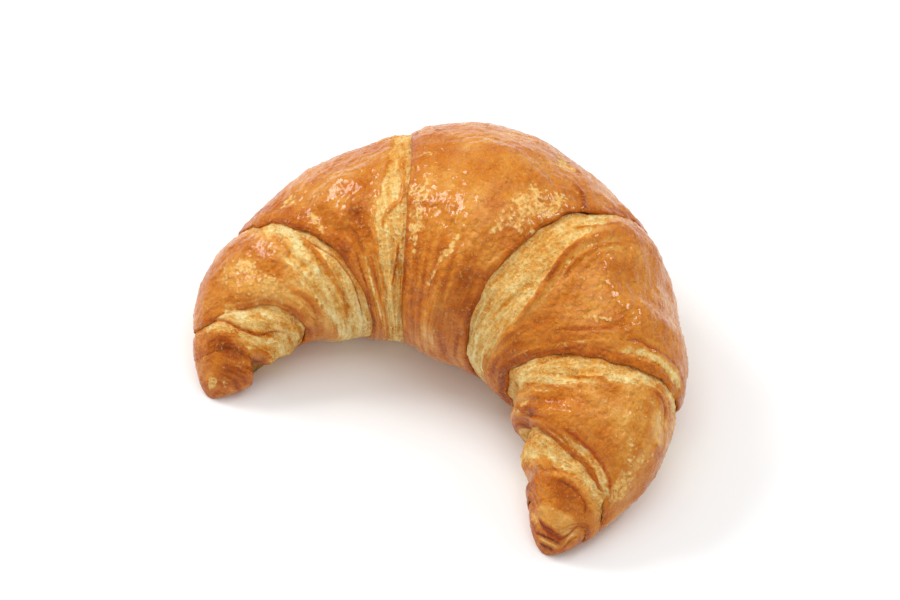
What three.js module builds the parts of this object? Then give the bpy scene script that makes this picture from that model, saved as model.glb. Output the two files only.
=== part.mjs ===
// A curved butter croissant: one rolled sheet of dough, baked as one piece and lying on its flat underside.
// Millimetres, +Z up. Both tips point towards -Y, and the origin is on the table under the middle of the piece.
// The body is a swollen tube along a horseshoe-shaped spine. Laps of dough overlap along it like shingles: each
// wrap rises from a root beside its neighbour to a raised lip of its own on the side of the tip.
import * as THREE from "three";

// The spine, seen from above: half an ellipse for the back, with a straight stretch in each arm.
const SPINE_HALF_SPAN = 57;
const SPINE_DEPTH = 55;
const HALF_LENGTH = 105;
const SPINE_DIVISIONS = 2000;

// The plain body before the laps are laid over it.
const MIDDLE_HALF_WIDTH = 38.4;
const HEIGHT_TO_WIDTH = 0.86;
const SEAT = 0.86; // how much of the lower half stands above the table: the rest is cut flat
const TAPER_ROUNDING = 16; // the stretch over which the two arms' tapers blend
const TAPER_POWER = 0.86;
const TAPER_FULLNESS = 0.52;

// The laps: a root sinks below the plain body, and a lip stands proud of it.
const ROOT_DEPTH = 1.3;
const LIP_HEIGHT = 1.0;
const RISE_POWER = 0.6;
const LIP_SLOPE = 0.9; // how far past a lip its neighbour's root lies
const FULL_SIZE_LAP = 20; // the half width below which laps get thinner

// Each lap's edge, as the distance along the spine from the middle at which it crosses the inner side, the crown,
// the outer side and the base. The left arm is negative. A skew moves the edge to the right between the inner side
// and the crown, and as far to the left between the crown and the outer side.
const LAP_EDGES = [
  { inner: -93, crown: -97.5, outer: -99, base: -96, skew: 0 },
  { inner: -75, crown: -87.5, outer: -92, base: -84, skew: 1 },
  { inner: -45, crown: -60.5, outer: -68, base: -55, skew: 0 },
  { inner: -25.6, crown: -25.8, outer: -27, base: -25, skew: 0 },
  { inner: 25.6, crown: 19.6, outer: 26.1, base: 25.6, skew: -1 },
  { inner: 51.3, crown: 59.6, outer: 60.9, base: 55.5, skew: 0 },
  { inner: 72, crown: 86.3, outer: 92, base: 82, skew: 3 },
  { inner: 96.5, crown: 100, outer: 97.5, base: 97, skew: 0 },
];

// How finely the skin is laid out.
const RINGS_PER_WRAP = 8;
const ARC_COLUMNS = 30;
const BASE_COLUMNS = 6;
const COLUMNS = ARC_COLUMNS + BASE_COLUMNS;

const CRUST = { color: 0xcf8a42, roughness: 0.5, metalness: 0 };

/** The spine as one path from the left tip to the right one. */
function makeSpine() {
  const back = new THREE.EllipseCurve(0, -SPINE_DEPTH, SPINE_HALF_SPAN, SPINE_DEPTH, Math.PI, 0, true);
  back.arcLengthDivisions = SPINE_DIVISIONS;
  const armEnd = -SPINE_DEPTH - (HALF_LENGTH - back.getLength() / 2);
  const arm = (x, fromY, toY) => new THREE.LineCurve(new THREE.Vector2(x, fromY), new THREE.Vector2(x, toY));
  const path = new THREE.CurvePath();
  path.add(arm(-SPINE_HALF_SPAN, armEnd, -SPINE_DEPTH));
  path.add(back);
  path.add(arm(SPINE_HALF_SPAN, -SPINE_DEPTH, armEnd));
  return path;
}

const spine = makeSpine();

/** The point of the spine at a distance from its middle, with the direction that leads to the outer side. */
function spineAt(along) {
  const share = THREE.MathUtils.clamp((along + HALF_LENGTH) / (2 * HALF_LENGTH), 0, 1);
  const point = spine.getPointAt(share);
  const tangent = spine.getTangentAt(share);
  return { point, outward: new THREE.Vector2(-tangent.y, tangent.x) };
}

/** Half the plain body's width at a distance from the middle. */
function halfWidth(along) {
  const rounded = Math.hypot(along, TAPER_ROUNDING) - TAPER_ROUNDING;
  const atTip = Math.hypot(HALF_LENGTH, TAPER_ROUNDING) - TAPER_ROUNDING;
  const share = Math.min(rounded / atTip, 1);
  return MIDDLE_HALF_WIDTH * (1 - share ** TAPER_POWER) ** TAPER_FULLNESS;
}

/** Where a lap's edge lies at an angle round the body: 0 is the inner side, a quarter turn is the crown. */
function edgeAt(edge, angle) {
  const mean = (edge.inner + edge.crown + edge.outer + edge.base) / 4;
  const acrossSides = (edge.inner - edge.outer) / 2;
  const upright = (edge.crown - edge.base) / 2;
  const twofold = (edge.inner + edge.outer - edge.crown - edge.base) / 4;
  const smooth = mean + acrossSides * Math.cos(angle) + upright * Math.sin(angle) + twofold * Math.cos(2 * angle);
  return smooth + edge.skew * Math.sin(2 * angle);
}

/** How far a wrap stands proud of the plain body, from its root (0) to its lip (1). */
function wrapLift(fromRoot) {
  const rise = Math.sin((fromRoot * Math.PI) / 2) ** RISE_POWER;
  return THREE.MathUtils.lerp(-ROOT_DEPTH, LIP_HEIGHT, rise);
}

/** The wraps from the left tip to the right one, each as the two edges that it lies between. */
function makeWraps() {
  const tip = (along) => ({ inner: along, crown: along, outer: along, base: along, skew: 0 });
  const edges = [tip(-HALF_LENGTH), ...LAP_EDGES, tip(HALF_LENGTH)];
  return edges.slice(1).map((edge, i) => ({ from: edges[i], to: edge }));
}

/**
 * The rings of the skin from tip to tip. A ring has its place along the spine at each angle, and its lift.
 * A wrap of the left arm has its lip on the left and one of the right arm on the right. The middle wrap has two.
 */
function makeRings() {
  const wraps = makeWraps();
  const middle = (wraps.length - 1) / 2;
  const rings = wraps.flatMap(({ from, to }, i) => {
    const side = Math.sign(i - middle);
    return Array.from({ length: RINGS_PER_WRAP + 1 }, (_, ring) => {
      const share = ring / RINGS_PER_WRAP;
      const fromRoot = side < 0 ? 1 - share : share;
      const pastLip = side * LIP_SLOPE * (1 - fromRoot);
      return {
        place: (angle) => THREE.MathUtils.lerp(edgeAt(from, angle), edgeAt(to, angle), share) + pastLip,
        lift: side === 0 ? LIP_HEIGHT : wrapLift(fromRoot),
      };
    });
  });
  // The tips themselves are points, and close the skin.
  return rings.slice(1, -1);
}

/** One point of a ring: over the body for columns up to ARC_COLUMNS, and across the flat base past it. */
function skinPoint({ place, lift }, column) {
  const rim = Math.asin(SEAT);
  const overBody = column <= ARC_COLUMNS;
  const share = overBody ? column / ARC_COLUMNS : (column - ARC_COLUMNS) / BASE_COLUMNS;
  const angle = overBody
    ? THREE.MathUtils.lerp(-rim, Math.PI + rim, share)
    : THREE.MathUtils.lerp(Math.PI + rim, 2 * Math.PI - rim, share);
  const along = place(angle);
  const width = halfWidth(along);
  const height = width * HEIGHT_TO_WIDTH;
  const fade = THREE.MathUtils.smoothstep(Math.sin(angle), -SEAT, 0);
  const proud = lift * fade * Math.min(width / FULL_SIZE_LAP, 1);
  const outwards = overBody
    ? -Math.cos(angle) * (width + proud)
    : THREE.MathUtils.lerp(Math.cos(rim), -Math.cos(rim), share) * width;
  const onTable = column === 0 || column >= ARC_COLUMNS;
  const up = onTable ? 0 : SEAT * height + Math.sin(angle) * (height + proud);
  const { point, outward } = spineAt(along);
  return [point.x + outward.x * outwards, point.y + outward.y * outwards, up];
}

/** A closed skin over the rings, with a fan to a point at each tip. */
function makeSkin(rings) {
  const points = rings.flatMap((ring) => Array.from({ length: COLUMNS }, (_, column) => skinPoint(ring, column)));
  const faces = [];
  for (let ring = 0; ring < rings.length - 1; ring++) {
    for (let column = 0; column < COLUMNS; column++) {
      const a = ring * COLUMNS + column;
      const b = ring * COLUMNS + ((column + 1) % COLUMNS);
      faces.push(a, a + COLUMNS, b, b, a + COLUMNS, b + COLUMNS);
    }
  }
  const lastRing = (rings.length - 1) * COLUMNS;
  const leftTip = points.push([...spineAt(-HALF_LENGTH).point, 0]) - 1;
  const rightTip = points.push([...spineAt(HALF_LENGTH).point, 0]) - 1;
  for (let column = 0; column < COLUMNS; column++) {
    const next = (column + 1) % COLUMNS;
    faces.push(leftTip, column, next);
    faces.push(rightTip, lastRing + next, lastRing + column);
  }
  return new THREE.BufferGeometry()
    .setAttribute("position", new THREE.Float32BufferAttribute(points.flat(), 3))
    .setIndex(faces);
}

/** The baked croissant as one mesh, centred over the origin. */
function makeCroissant() {
  const skin = makeSkin(makeRings());
  skin.computeBoundingBox();
  const centre = skin.boundingBox.getCenter(new THREE.Vector3());
  skin.translate(-centre.x, -centre.y, 0);
  skin.computeVertexNormals();
  const mesh = new THREE.Mesh(skin, new THREE.MeshStandardMaterial(CRUST));
  mesh.name = "croissant";
  return mesh;
}

const croissant = new THREE.Group();
croissant.add(makeCroissant());

export default croissant;
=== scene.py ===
"""A curved butter croissant, rolled from one sheet of dough and baked, on a pale floor in soft light."""

import logging
import math
from dataclasses import dataclass, field
from enum import Enum
from itertools import product
from typing import Any

import bmesh
import bpy
import numpy as np
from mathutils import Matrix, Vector


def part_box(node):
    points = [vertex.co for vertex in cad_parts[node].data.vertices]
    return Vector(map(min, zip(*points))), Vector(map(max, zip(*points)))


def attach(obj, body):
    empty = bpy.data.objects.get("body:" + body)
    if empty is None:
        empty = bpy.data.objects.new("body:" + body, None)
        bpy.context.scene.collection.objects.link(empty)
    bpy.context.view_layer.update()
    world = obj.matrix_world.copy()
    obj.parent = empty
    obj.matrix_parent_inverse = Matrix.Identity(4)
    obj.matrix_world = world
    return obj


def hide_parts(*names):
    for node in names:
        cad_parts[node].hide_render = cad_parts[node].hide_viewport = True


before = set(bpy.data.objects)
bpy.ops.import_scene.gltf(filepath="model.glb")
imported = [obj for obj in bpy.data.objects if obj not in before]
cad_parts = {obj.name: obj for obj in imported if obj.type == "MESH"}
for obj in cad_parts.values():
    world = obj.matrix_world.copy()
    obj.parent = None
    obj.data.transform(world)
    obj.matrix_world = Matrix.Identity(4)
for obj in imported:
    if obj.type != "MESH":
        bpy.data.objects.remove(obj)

Array = np.ndarray
Value = Any

MM = 0.001
NODE = "croissant"
BODY = "root"
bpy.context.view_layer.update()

FAR = 99.0  # millimetres, past every edge of every wrap
BAKING_AND_SHADE = ("glaze", "tone", "crevice", "layers", "flake")

log = logging.getLogger("croissant")


# ----------------------------------------------------------------------------------------
# Small tools for shapes
# ----------------------------------------------------------------------------------------


def smooth_step(low: float, high: float, value: Array) -> Array:
    """A soft step.

    Args:
        low: Where the step starts.
        high: Where it ends. It may lie below low, for a step down.
        value: What is compared with the two.

    Returns:
        0 before low, 1 after high, and a smooth rise between them.
    """
    share = np.clip((value - low) / (high - low), 0.0, 1.0)
    return share * share * (3 - 2 * share)


def blend(start: Array, end: Array, share: Array) -> Array:
    """The value a share of the way from start to end."""
    return start + (end - start) * share


def bell(value: Array, width: float | Array) -> Array:
    """A smooth hump: 1 where the value is 0, and next to nothing past twice the width."""
    return np.exp(-((value / width) ** 2))


def fading(distance: Array, reach: float) -> Array:
    """A strength that falls away: 1 as far as a distance of 0, and about a third at the reach."""
    return np.exp(-np.maximum(distance, 0) / reach)


def on_circle(angle: Array, seed: float) -> Array:
    """Places on a circle, where noise closes on itself round the body."""
    return np.stack([np.cos(angle), np.sin(angle), np.full_like(angle, seed)], axis=-1)


class SmoothNoise:
    """Gradient noise over three coordinates, the same on every run."""

    table_size = 256
    height = 1.6
    level_shift = 17.3

    def __init__(self, seed: int) -> None:
        """Draws the table of directions.

        Args:
            seed: What sets the table apart from another.
        """
        dice = np.random.default_rng(seed)
        order = dice.permutation(self.table_size)
        self.order = np.concatenate([order, order, order])
        slopes = dice.normal(size=(self.table_size, 3))
        self.slopes = slopes / np.linalg.norm(slopes, axis=1, keepdims=True)

    def at(self, x: Array, y: Array, z: Array) -> Array:
        """The noise at some points.

        Args:
            x: The first coordinate, in wavelengths.
            y: The second.
            z: The third.

        Returns:
            Values of about -1 to 1.
        """
        points = np.stack(np.broadcast_arrays(x, y, z), axis=-1)
        cell = np.floor(points).astype(int)
        inside = points - cell
        cell &= self.table_size - 1
        ease = inside**3 * (inside * (inside * 6 - 15) + 10)
        total = np.zeros(points.shape[:-1])
        for corner in product((0, 1), repeat=3):
            row = self.order[cell[..., 0] + corner[0]]
            row = self.order[row + cell[..., 1] + corner[1]]
            row = self.order[row + cell[..., 2] + corner[2]]
            weight = np.prod(np.where(np.array(corner, dtype=bool), ease, 1 - ease), axis=-1)
            total += weight * np.sum(self.slopes[row] * (inside - corner), axis=-1)
        return total * self.height

    def rough(self, points: Array, size: float, octaves: int = 3, gain: float = 0.5) -> Array:
        """Noise with finer and finer detail.

        Args:
            points: Places, with their three coordinates last.
            size: The wavelength of the coarsest detail, in the units of points.
            octaves: How many levels of detail there are.
            gain: How strong each level is beside the one before.

        Returns:
            Values of about -1 to 1.
        """
        total = np.zeros(points.shape[:-1])
        strength = 1.0
        for level in range(octaves):
            scaled = points * (2**level / size) + self.level_shift * level
            total += strength * self.at(scaled[..., 0], scaled[..., 1], scaled[..., 2])
            strength *= gain
        return total


LUMPS = SmoothNoise(3)
MOTTLE = SmoothNoise(11)
FOLDS = SmoothNoise(23)
RAGGED = SmoothNoise(37)


class Side(Enum):
    """Which arm a wrap belongs to, as the direction along the spine in which its lip lies."""

    LEFT = -1
    MIDDLE = 0
    RIGHT = 1


@dataclass(frozen=True)
class Edge:
    """A line round the body, as the distance along the spine at which it crosses each side.

    Distances are in millimetres, and the left arm's are negative. An angle of 0 is the inner side, and a
    quarter turn is the crown. A tongue is a place where the line runs further out: its middle in degrees, its
    reach, and its spread in degrees.
    """

    inner: float
    crown: float
    outer: float
    base: float
    skew: float = 0.0
    ragged: float = 0.6
    seed: float = 0.0
    tongue: tuple[float, float, float] = (0.0, 0.0, 1.0)

    def at(self, angle: Array) -> Array:
        """Where the line lies.

        Args:
            angle: Angles round the body, in radians.

        Returns:
            Distances along the spine, in millimetres.
        """
        mean = (self.inner + self.crown + self.outer + self.base) / 4
        across = (self.inner - self.outer) / 2
        upright = (self.crown - self.base) / 2
        twofold = (self.inner + self.outer - self.crown - self.base) / 4
        smooth = mean + across * np.cos(angle) + upright * np.sin(angle)
        smooth = smooth + twofold * np.cos(2 * angle) + self.skew * np.sin(2 * angle)
        middle, reach, spread = self.tongue
        smooth = smooth + reach * np.exp(-(((np.degrees(angle) - middle) / spread) ** 4))
        return smooth + self.ragged * RAGGED.rough(on_circle(angle, self.seed), 0.45, octaves=4, gain=0.6)


@dataclass(frozen=True)
class Body:
    """The plain swollen tube that the laps lie on, in millimetres.

    Its spine is half an ellipse with straight ends.
    """

    half_span: float = 57.0
    depth: float = 55.0
    half_length: float = 105.0
    middle_half_width: float = 38.4
    height_to_width: float = 0.86
    seat: float = 0.86
    taper_rounding: float = 16.0
    taper_power: float = 0.86
    taper_fullness: float = 0.52
    tips_y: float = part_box(NODE)[0].y / MM
    seat_softness: float = 0.5
    seat_settling: float = 0.15
    thinnest: float = 0.02
    divisions: int = 4000

    def half_width(self, along: Array) -> Array:
        """Half the body's width at distances along the spine."""
        rounded = np.hypot(along, self.taper_rounding) - self.taper_rounding
        at_tip = math.hypot(self.half_length, self.taper_rounding) - self.taper_rounding
        share = np.clip(rounded / at_tip, 0, 1)
        return self.middle_half_width * (1 - share**self.taper_power) ** self.taper_fullness

    def spine(self, along: Array) -> tuple[Array, Array, Array, Array]:
        """The spine's points.

        Args:
            along: Distances along it from the middle.

        Returns:
            x and y of the points, then x and y of the direction that leads to the outer side.
        """
        turn = np.linspace(-math.pi / 2, math.pi / 2, self.divisions + 1)
        steps = np.hypot(np.diff(self.half_span * np.sin(turn)), np.diff(self.depth * np.cos(turn)))
        reached = np.concatenate([[0.0], np.cumsum(steps)])
        half_arc = reached[-1] / 2
        phi = np.interp(along, reached - half_arc, turn)
        beyond = np.maximum(np.abs(along) - half_arc, 0)
        shift = self.tips_y + self.depth + self.half_length - half_arc
        x = self.half_span * np.sin(phi)
        y = self.depth * (np.cos(phi) - 1) - beyond + shift
        out_x = self.depth * np.sin(phi)
        out_y = self.half_span * np.cos(phi)
        length = np.hypot(out_x, out_y)
        return x, y, out_x / length, out_y / length

    def place(self, along: Array, angle: Array, proud: Array, lifted: Array) -> Array:
        """Points over the body.

        Args:
            along: Distances along the spine.
            angle: Angles round the body.
            proud: How far the points stand out from the body.
            lifted: How far the flat underside is raised.

        Returns:
            The points, with their three coordinates last, in millimetres.
        """
        width = self.half_width(along)
        height = width * self.height_to_width
        out = -np.cos(angle) * np.maximum(width + proud, self.thinnest)
        up = self.seat * height + np.sin(angle) * np.maximum(height + proud, self.thinnest)
        up = (up + np.hypot(up, self.seat_softness)) / 2 - self.seat_softness * self.seat_settling + lifted
        x, y, out_x, out_y = self.spine(along)
        return np.stack([x + out_x * out, y + out_y * out, np.maximum(up, 0.0)], axis=-1)


BODY_SHAPE = Body()


@dataclass(frozen=True)
class Patch:
    """A place on the crust that is paler, browner or raised, with a ragged outline.

    The place is a distance along the spine in millimetres and an angle round the body in degrees. The length
    runs along the spine and the width round the body, both in millimetres from the patch's middle outwards.
    The outline's raggedness is worked out only within a few lengths of the middle.
    """

    along: float
    angle: float
    length: float
    width: float
    glaze: float = 0.0
    tone: float = 0.0
    raised: float = 0.0
    flake: float = 0.0
    turn: float = 0.0
    ragged: float = 0.6
    soft_from: float = 1.4
    soft_to: float = 0.5
    detail: float = 6.0
    detail_within: float = 3.0

    def cover(self, along: Array, angle: Array, spot: Array) -> Array:
        """How much the patch covers each point.

        Args:
            along: Distances along the spine.
            angle: Angles round the body, in radians.
            spot: The points' places on the body, for the ragged outline.

        Returns:
            1 inside the patch, 0 outside it.
        """
        radius = float(BODY_SHAPE.half_width(np.array(self.along)))
        u = along - self.along
        v = (angle - math.radians(self.angle)) * radius
        cos, sin = math.cos(math.radians(self.turn)), math.sin(math.radians(self.turn))
        reach = np.hypot((u * cos + v * sin) / self.length, (v * cos - u * sin) / self.width)
        near = reach < self.detail_within
        if self.ragged > 0 and near.any():
            waver = RAGGED.rough(spot[near] + self.along, self.detail, octaves=4, gain=0.7)
            reach[near] += self.ragged * waver
        return smooth_step(self.soft_from, self.soft_to, reach)


@dataclass(frozen=True)
class Strand:
    """A narrow mark along the crust: a ridge, a streak of glaze, a row of flakes, or a step at a sheet's end.

    Its line passes through points, each a distance along the spine in millimetres and an angle in degrees.
    The width is half the mark's, in millimetres. A step stands out on the line's left and dies away over its
    reach.
    """

    points: tuple[tuple[float, float], ...]
    width: float = 0.8
    glaze: float = 0.0
    tone: float = 0.0
    raised: float = 0.0
    flake: float = 0.0
    step: float = 0.0
    reach: float = 3.5
    ragged: float = 0.5
    pieces: int = 10

    def line(self, radius: float) -> Array:
        """The line as short straight pieces, on the unrolled body.

        Args:
            radius: The body's half width near the strand.

        Returns:
            The ends of the pieces, as distances along the spine and round the body.
        """
        knots = np.array([(along, math.radians(angle) * radius) for along, angle in self.points])
        knots = np.concatenate([[2 * knots[0] - knots[1]], knots, [2 * knots[-1] - knots[-2]]])
        share = np.linspace(0, 1, self.pieces, endpoint=False)[:, None]
        parts = []
        for a, b, c, d in zip(knots, knots[1:], knots[2:], knots[3:]):
            curve = 2 * b + (c - a) * share + (2 * a - 5 * b + 4 * c - d) * share**2
            parts.append((curve + (3 * b - a - 3 * c + d) * share**3) / 2)
        return np.concatenate([*parts, knots[-2:-1]])

    def measure(self, along: Array, angle: Array, spot: Array) -> tuple[Array, Array, Array]:
        """Where the points of a skin lie beside the strand.

        Args:
            along: Distances along the spine.
            angle: Angles round the body, in radians.
            spot: The points' places on the body, for the ragged outline.

        Returns:
            Which points lie near it, their distances from it, positive on its left, and its strength there.
        """
        radius = float(BODY_SHAPE.half_width(np.array(self.points[0][0])))
        ends = self.line(radius)
        margin = max(3 * self.width, 3 * self.reach * (self.step > 0)) + 1.5
        u, v = along, angle * radius
        near = (u > ends[:, 0].min() - margin) & (u < ends[:, 0].max() + margin)
        near &= (v > ends[:, 1].min() - margin) & (v < ends[:, 1].max() + margin)
        at = np.stack([u[near], v[near]], axis=-1)
        best = np.full(len(at), 1e9)
        side = np.zeros(len(at))
        share = np.zeros(len(at))
        for number, (a, b) in enumerate(zip(ends, ends[1:])):
            run = b - a
            part = np.clip((at - a) @ run / (run @ run), 0, 1)
            off = at - a - part[:, None] * run
            gap = np.hypot(off[:, 0], off[:, 1])
            closer = gap < best
            best = np.where(closer, gap, best)
            side = np.where(closer, np.sign(run[0] * off[:, 1] - run[1] * off[:, 0]), side)
            share = np.where(closer, (number + part) / (len(ends) - 1), share)
        waver = RAGGED.rough(spot[near] + self.points[0][0], 3.5, octaves=3, gain=0.6)
        away = best * side + self.ragged * 0.7 * waver * min(self.width, 1.5)
        taper = smooth_step(0, 0.16, share) * smooth_step(1, 0.84, share)
        return near, away, taper * (1 - 0.6 * self.ragged * smooth_step(0.0, 0.5, waver))

    def mark(self, skin: "Skin", spot: Array) -> None:
        """Adds the strand to a skin.

        Args:
            skin: The skin.
            spot: The points' places on the body.
        """
        near, away, strength = self.measure(skin.along, skin.angle, spot)
        if not near.any():
            return
        cover = strength * bell(away, self.width)
        skin.glaze[near] += self.glaze * cover
        skin.tone[near] += self.tone * cover
        skin.proud[near] += self.raised * cover
        skin.flake[near] += self.flake * cover
        if self.step > 0:
            rise = smooth_step(-0.15, 0.2, away) * fading(away, self.reach)
            skin.proud[near] += self.step * strength * (rise - 0.5 * bell(away + 0.3, 0.35))
            # Painted shade at the foot of the step.
            skin.layers[near] += 1.2 * strength * bell(away + 0.25, 0.34)


@dataclass
class Skin:
    """The sculpted surface of a wrap, as arrays of rings by columns."""

    along: Array
    angle: Array
    proud: Array
    lifted: Array
    glaze: Array
    tone: Array
    crevice: Array
    layers: Array
    flake: Array


# ----------------------------------------------------------------------------------------
# The wraps of dough
# ----------------------------------------------------------------------------------------


@dataclass(frozen=True)
class Character:
    """How a wrap of dough is shaped and baked, in millimetres."""

    root_depth: float = 0.8
    lip_height: float = 0.6
    bulge: float = 0.9
    band_sink: float = 0.45
    folds: float = 0.45
    sheets: int = 1
    sheet_drop: float = 0.32
    sheet_spacing: float = 1.3
    tone: float = 0.5
    seed: float = 0.0


@dataclass(frozen=True)
class Relief:
    """How far each kind of detail stands out of the dough or sinks into it, in millimetres."""

    broad_lumps: float = 0.55
    lumps: float = 0.50
    creases: float = 1.6
    wrinkles: float = 0.8
    ropes: float = 0.45
    threads: float = 0.06
    crumb: float = 0.20
    blisters: float = 0.34
    root_layers: float = 0.20
    flaked: float = 0.12
    lip_slump: float = 0.35
    outer_folds: float = 0.35
    inner_folds: float = 1.1


@dataclass(frozen=True)
class Browning:
    """How much each kind of detail changes the tone, which runs from 0, pale, to 1, dark brown."""

    blotches: float = 0.12
    mottling: float = 0.08
    threads: float = 0.09
    streaks: float = 0.19
    ropes: float = 0.26
    inner_side: float = 0.05
    sheltered_side: float = 0.16
    torn_edge: float = 0.16
    cut_sheets: float = 0.08
    lip: float = 0.16


@dataclass(frozen=True)
class Wear:
    """How much of the glaze is missing at each kind of place, where 1 is all of it."""

    creases: float = 0.45
    base: float = 0.6
    cut_sheets: float = 0.5
    ended_sheets: float = 0.12


@dataclass
class Wrap:
    """One wrap of the rolled sheet: it comes out from under its neighbour and ends in a raised lip."""

    name: str
    side: Side
    start: Edge
    end: Edge
    band: Edge
    character: Character
    patches: tuple[Patch, ...]
    strands: tuple[Strand, ...]
    columns: int = 420
    ring_spacing: float = 0.30
    hidden_rings: int = 8
    nose_rings: int = 10
    tuck_rings: int = 7
    hidden_reach: float = 8.0
    hidden_depth: float = 5.0
    hidden_lift: float = 0.9
    tuck_reach: float = 2.6
    tuck_depth: float = 4.2
    full_size: float = 20.0
    is_tip: bool = False
    tip_reach: float = 0.998
    relief: Relief = Relief()
    browning: Browning = Browning()
    wear: Wear = Wear()

    def column_angles(self) -> Array:
        """The angle of each column: most of them lie over the body, the others under it."""
        rim = math.asin(BODY_SHAPE.seat)
        under = self.columns // 9
        over = self.columns - under
        body = np.linspace(-rim, math.pi + rim, over, endpoint=False)
        base = np.linspace(math.pi + rim, 2 * math.pi - rim, under, endpoint=False)
        return np.concatenate([body, base])

    def fullness(self, along: Array) -> Array:
        """How full the relief is at distances along the spine: it gets lower where the body is thin."""
        return np.minimum(BODY_SHAPE.half_width(along) / self.full_size, 1)

    @staticmethod
    def off_table(angle: Array) -> Array:
        """How free of the flat underside each angle is, from 0 on it to 1 past the body's widest line."""
        return smooth_step(-BODY_SHAPE.seat, -0.1, np.sin(angle))

    def surface(self, along: Array, angle: Array, share: Array) -> Skin:
        """The wrap's own surface: its rise to the lip, its lumps and folds, and how it is baked.

        Args:
            along: Distances along the spine.
            angle: Angles round the body.
            share: How far along the wrap the points lie, from its root (0) to its lip (1).

        Returns:
            The skin, with nothing hidden or tucked in yet.
        """
        side = self.side.value
        kind, relief, browning, wear = self.character, self.relief, self.browning, self.wear
        flat = np.zeros_like(along)
        spot = BODY_SHAPE.place(along, angle, flat, flat)
        x, y = np.cos(angle), np.sin(angle)
        off_table = self.off_table(angle)
        inner = smooth_step(1.5, 0.3, np.abs(angle))
        if side == 0:
            to_lip = np.minimum(along - self.start.at(angle), self.end.at(angle) - along)
            past_root = np.full_like(along, FAR)
            past_band = past_root
            rise = flat + 1
            hump = np.sin(np.clip(share, 0, 1) * math.pi)
        else:
            to_lip = (self.end.at(angle) - along) * side
            past_root = (along - self.start.at(angle)) * side
            past_band = (along - self.band.at(angle)) * side
            rise = np.clip(share, 0, 1)
            hump = np.sin(np.clip(share, 0, 1) ** 0.8 * math.pi)
        if self.is_tip:
            to_lip = np.full_like(along, FAR)
            hump = flat

        # Folds and long soft ropes of dough run along the lap, and close up towards the inner side.
        crease = np.abs(FOLDS.at(share * 5 + kind.seed, 1.1 * x, 1.1 * y + 0.4 * share))
        wrinkle = np.abs(FOLDS.at(share * 13 + kind.seed, 2.0 * x + 5, 2.0 * y))
        streak = FOLDS.at(share * 11 + kind.seed, 1.5 * x + 3, 1.5 * y)
        thread = FOLDS.at(share * 30 + kind.seed, 2.4 * x, 2.4 * y + 9)
        rope = FOLDS.at(along / 3.6 + kind.seed, 1.3 * x, 1.3 * y + 4)

        # The sheet is glazed past its pale band, with a soft edge on the inner side and a torn one elsewhere.
        torn = RAGGED.rough(spot, 5.0, octaves=4, gain=0.65)
        softness = 1.1 + 2.4 * inner
        edge_field = past_band + (1.3 - 0.6 * inner) * torn + 1.2 * (0.25 - crease) + 0.8 * thread
        glaze = smooth_step(-softness, softness, edge_field)
        near_band = smooth_step(11, 2, past_band)
        glaze = glaze - wear.creases * smooth_step(0.10, 0.0, crease) * near_band * inner
        shade = MOTTLE.rough(spot, 16.0, octaves=2) * browning.blotches
        shade = shade + MOTTLE.rough(spot + 50, 5.0, octaves=3) * browning.mottling
        tone = kind.tone + shade + (browning.threads * thread + browning.streaks * streak) * (0.4 + inner)
        tone = tone - browning.ropes * rope * (1 - glaze) + browning.inner_side * inner * glaze
        tone = tone - browning.sheltered_side * smooth_step(0.15, -0.75, y)
        tone = tone - browning.torn_edge * bell(edge_field, 1.4 * softness) * (side != 0)
        glaze = glaze * (1 - wear.base * smooth_step(-0.40, -0.85, y))

        # The thin sheets that the lip is made of end one after another, and more of them show at its root.
        ended, cut, shadow = flat, flat, flat
        for step in range(1, kind.sheets + 1):
            waver = FOLDS.at(1.5 * x + kind.seed, 1.5 * y, flat + 7.3 * step) + 0.3 * torn
            chance = FOLDS.at(1.6 * x, 1.6 * y, flat + 11.1 * step + kind.seed)
            shown = 0.15 + 0.85 * smooth_step(-0.2, 0.25, chance)
            past = to_lip - kind.sheet_spacing * (step + 0.6 * waver)
            ended = ended + smooth_step(0.25, -0.25, past) * shown
            cut = cut + bell(past - 0.1, 0.35) * shown
            shadow = shadow + bell(past + 0.5, 0.4) * shown
        waver = FOLDS.at(1.5 * x + kind.seed, 1.5 * y, flat + 2.0) + 0.4 * torn
        groove = 1 - np.abs(np.mod(past_root / 1.5 + 0.8 * waver, 1.0) - 0.5) * 2
        near_root = fading(past_root, 2.0)
        # Painted shade: the foot of each ended sheet and the sunk grooves near the root are darkened.
        layers = np.clip(shadow * 0.5 + near_root * groove * 0.4, 0, 1)
        glaze = glaze - wear.cut_sheets * cut - wear.ended_sheets * np.minimum(ended, 2)
        tone = tone - browning.cut_sheets * cut + browning.lip * fading(to_lip, 2.2)

        # The marks of its own that this croissant has.
        skin = Skin(
            along=along,
            angle=angle,
            proud=flat.copy(),
            lifted=flat,
            glaze=glaze + flat,
            tone=tone + flat,
            crevice=flat,
            layers=layers + flat,
            flake=flat.copy(),
        )
        for patch in self.patches:
            cover = patch.cover(along, angle, spot)
            skin.glaze += patch.glaze * cover
            skin.tone += patch.tone * cover
            skin.proud += patch.raised * cover
            skin.flake += patch.flake * cover
        for strand in self.strands:
            strand.mark(skin, spot)
        for name in ("glaze", "layers", "flake"):
            setattr(skin, name, np.clip(getattr(skin, name), 0, 1))

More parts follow.
